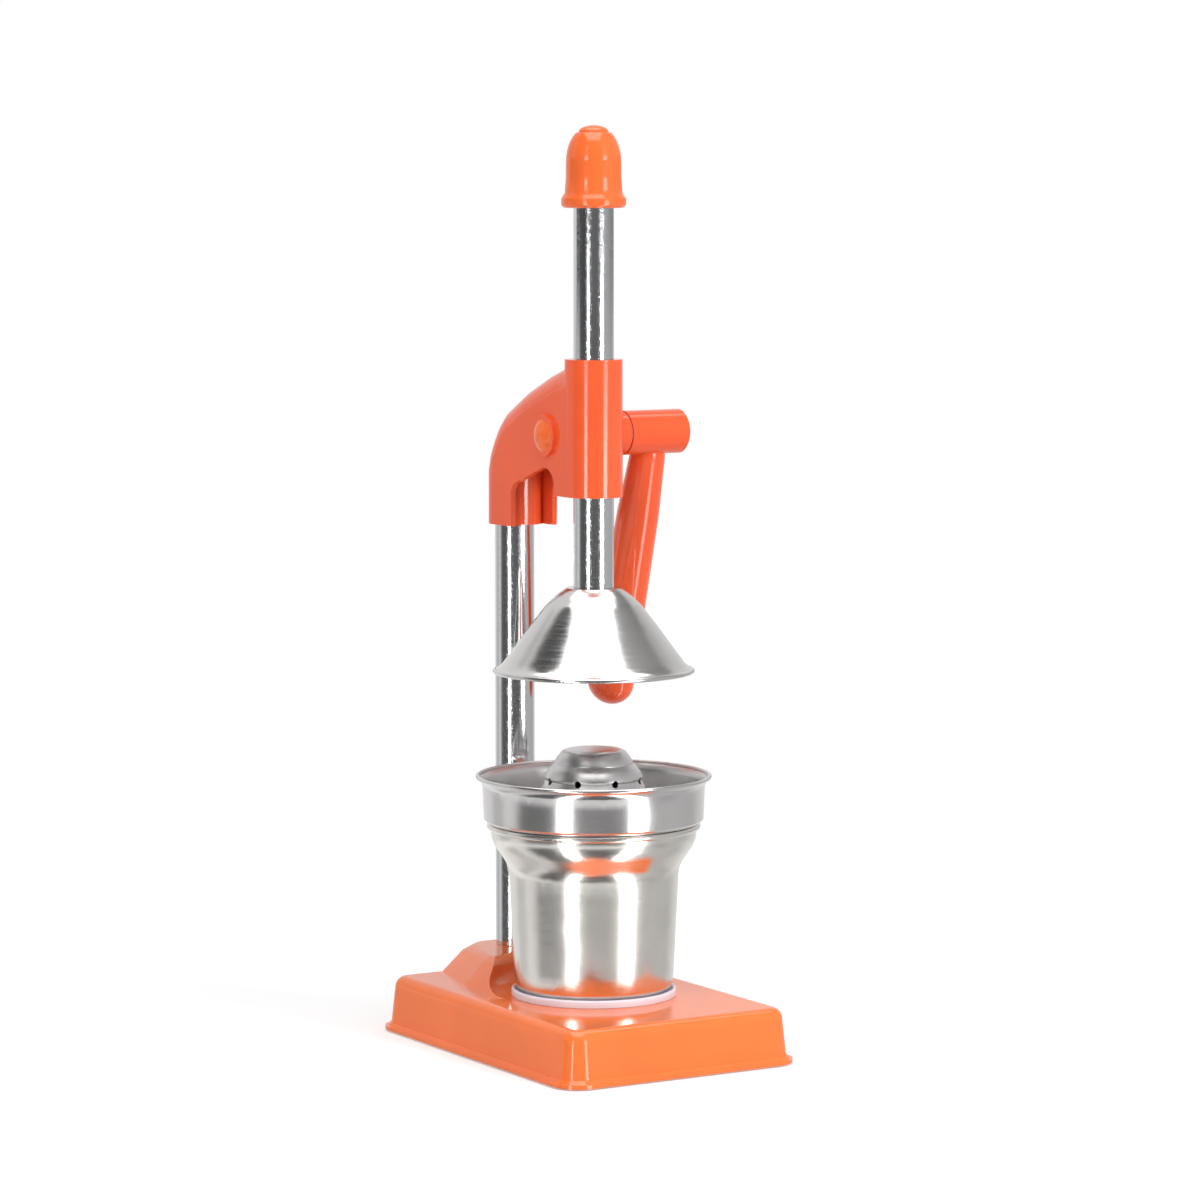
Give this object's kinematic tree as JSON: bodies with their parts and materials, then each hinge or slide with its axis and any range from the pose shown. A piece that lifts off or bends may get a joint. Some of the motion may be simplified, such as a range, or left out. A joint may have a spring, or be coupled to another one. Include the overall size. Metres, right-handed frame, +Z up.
{
  "type": "lever citrus press",
  "caption": "Upright citrus press: a side lever turns a pinion that drives a racked rod and spun cone down onto a ribbed squeezing dish over a cup.",
  "frame": {"origin": "middle of the base's footprint, on the table", "axes": "+Z up along the column and rod; -Y towards the user; +X towards the lever's side"},
  "size_m": [0.121, 0.173, 0.4126],
  "materials": {
    "orange_paint": "glossy baked enamel",
    "cast_paint": "glossy enamel on a casting",
    "orange_plastic": "glossy",
    "tube_chrome": "polished, faintly pitted",
    "spun_steel": "spun, satin",
    "cup_steel": "polished upright",
    "zinc_steel": "zinc plated",
    "plain_steel": "machined",
    "dark_steel": "blackened",
    "black_rubber": "matte",
    "milky_plastic": "milky, slightly clear"
  },
  "bodies": {
    "frame": {"base_shell": "orange_paint", "bottom_plate": "dark_steel", "base_feet": "black_rubber", "plate_screws": "zinc_steel", "plate_posts": "plain_steel", "backing_plate": "plain_steel", "column_tube": "tube_chrome", "column_plug": "plain_steel", "column_bolt": "zinc_steel", "column_spring_washer": "dark_steel", "head_casting": "cast_paint", "column_set_screws": "dark_steel", "shaft_cap": "orange_plastic", "seat_ring": "milky_plastic", "hub_washer": "milky_plastic"},
    "plunger": {"plunger_rod": "tube_chrome", "rod_cap": "orange_plastic", "cap_screw": "zinc_steel", "cap_plug": "orange_plastic", "press_cone": "spun_steel", "cone_washer": "zinc_steel", "cone_screw": "zinc_steel"},
    "lever": {"lever_shaft": "plain_steel", "pinion_gear": "plain_steel", "gear_pin": "dark_steel", "lever_arm": "cast_paint", "hub_set_screw": "dark_steel"},
    "cup": {"juice_cup": "cup_steel"},
    "dish": {"squeezing_dish": "spun_steel"}
  },
  "joints": [
    {"name": "lever_turn", "type": "hinge", "parent": "frame", "child": "lever", "pos_m": [0, 0.01315, 0.275], "axis": [-1, 0, 0], "range_deg": [-249, 3]},
    {"name": "rod_slide", "type": "slide", "parent": "frame", "child": "plunger", "axis": [0, 0, 1], "range_m": [-0.062, 0.0008]},
    {"name": "cup_turn", "type": "hinge", "parent": "frame", "child": "cup", "pos_m": [0, -0.0075, 0.0262], "axis": [0, 0, 1], "continuous": true},
    {"name": "dish_turn", "type": "hinge", "parent": "cup", "child": "dish", "pos_m": [0, -0.0075, 0.1048], "axis": [0, 0, 1], "continuous": true}
  ],
  "couplings": [
    {"joint": "rod_slide", "follows": "lever_turn", "m_per_rad": 0.01425}
  ]
}
